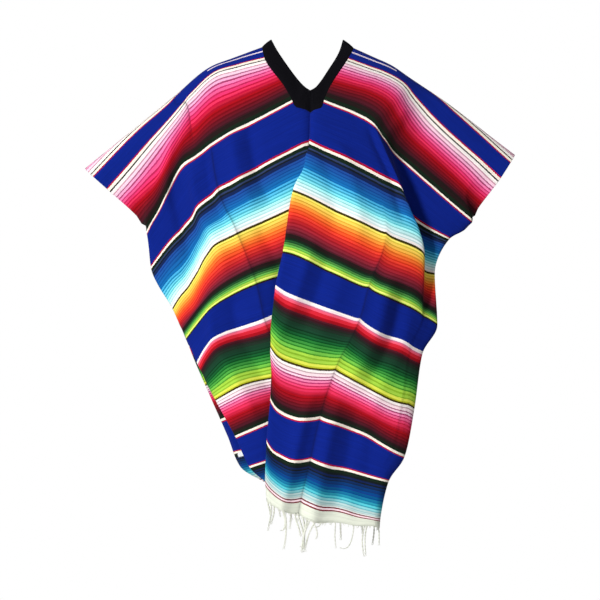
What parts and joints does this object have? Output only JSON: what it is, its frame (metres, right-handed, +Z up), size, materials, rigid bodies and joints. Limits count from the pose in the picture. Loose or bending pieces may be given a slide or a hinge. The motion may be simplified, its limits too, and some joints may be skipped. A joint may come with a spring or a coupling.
{
  "type": "striped serape poncho",
  "caption": "Woven blanket poncho in graded bright stripes, open at the sides, with a V neck bound in black knit and a white fringe on both hems.",
  "frame": {"origin": "where the shoulders carry the cloth, midway between the two ends of the neck opening on the ridge of the shoulders", "axes": "+Z up, the front of the garment faces -Y, +X is towards the viewer's right when looking at the front"},
  "size_m": [1.0112, 0.3423, 1.2379],
  "materials": {
    "striped_cloth": "matte ribbed weave in graded stripes on royal blue",
    "black_knit": "matte rib knit",
    "white_yarn": "matte soft twisted yarn",
    "white_tape": "smooth woven tape, blank"
  },
  "bodies": {
    "root": {"cloth_front": "striped_cloth", "cloth_back": "striped_cloth", "neck_band": "black_knit", "fringe_front": "white_yarn", "fringe_back": "white_yarn", "label": "white_tape"}
  },
  "joints": []
}
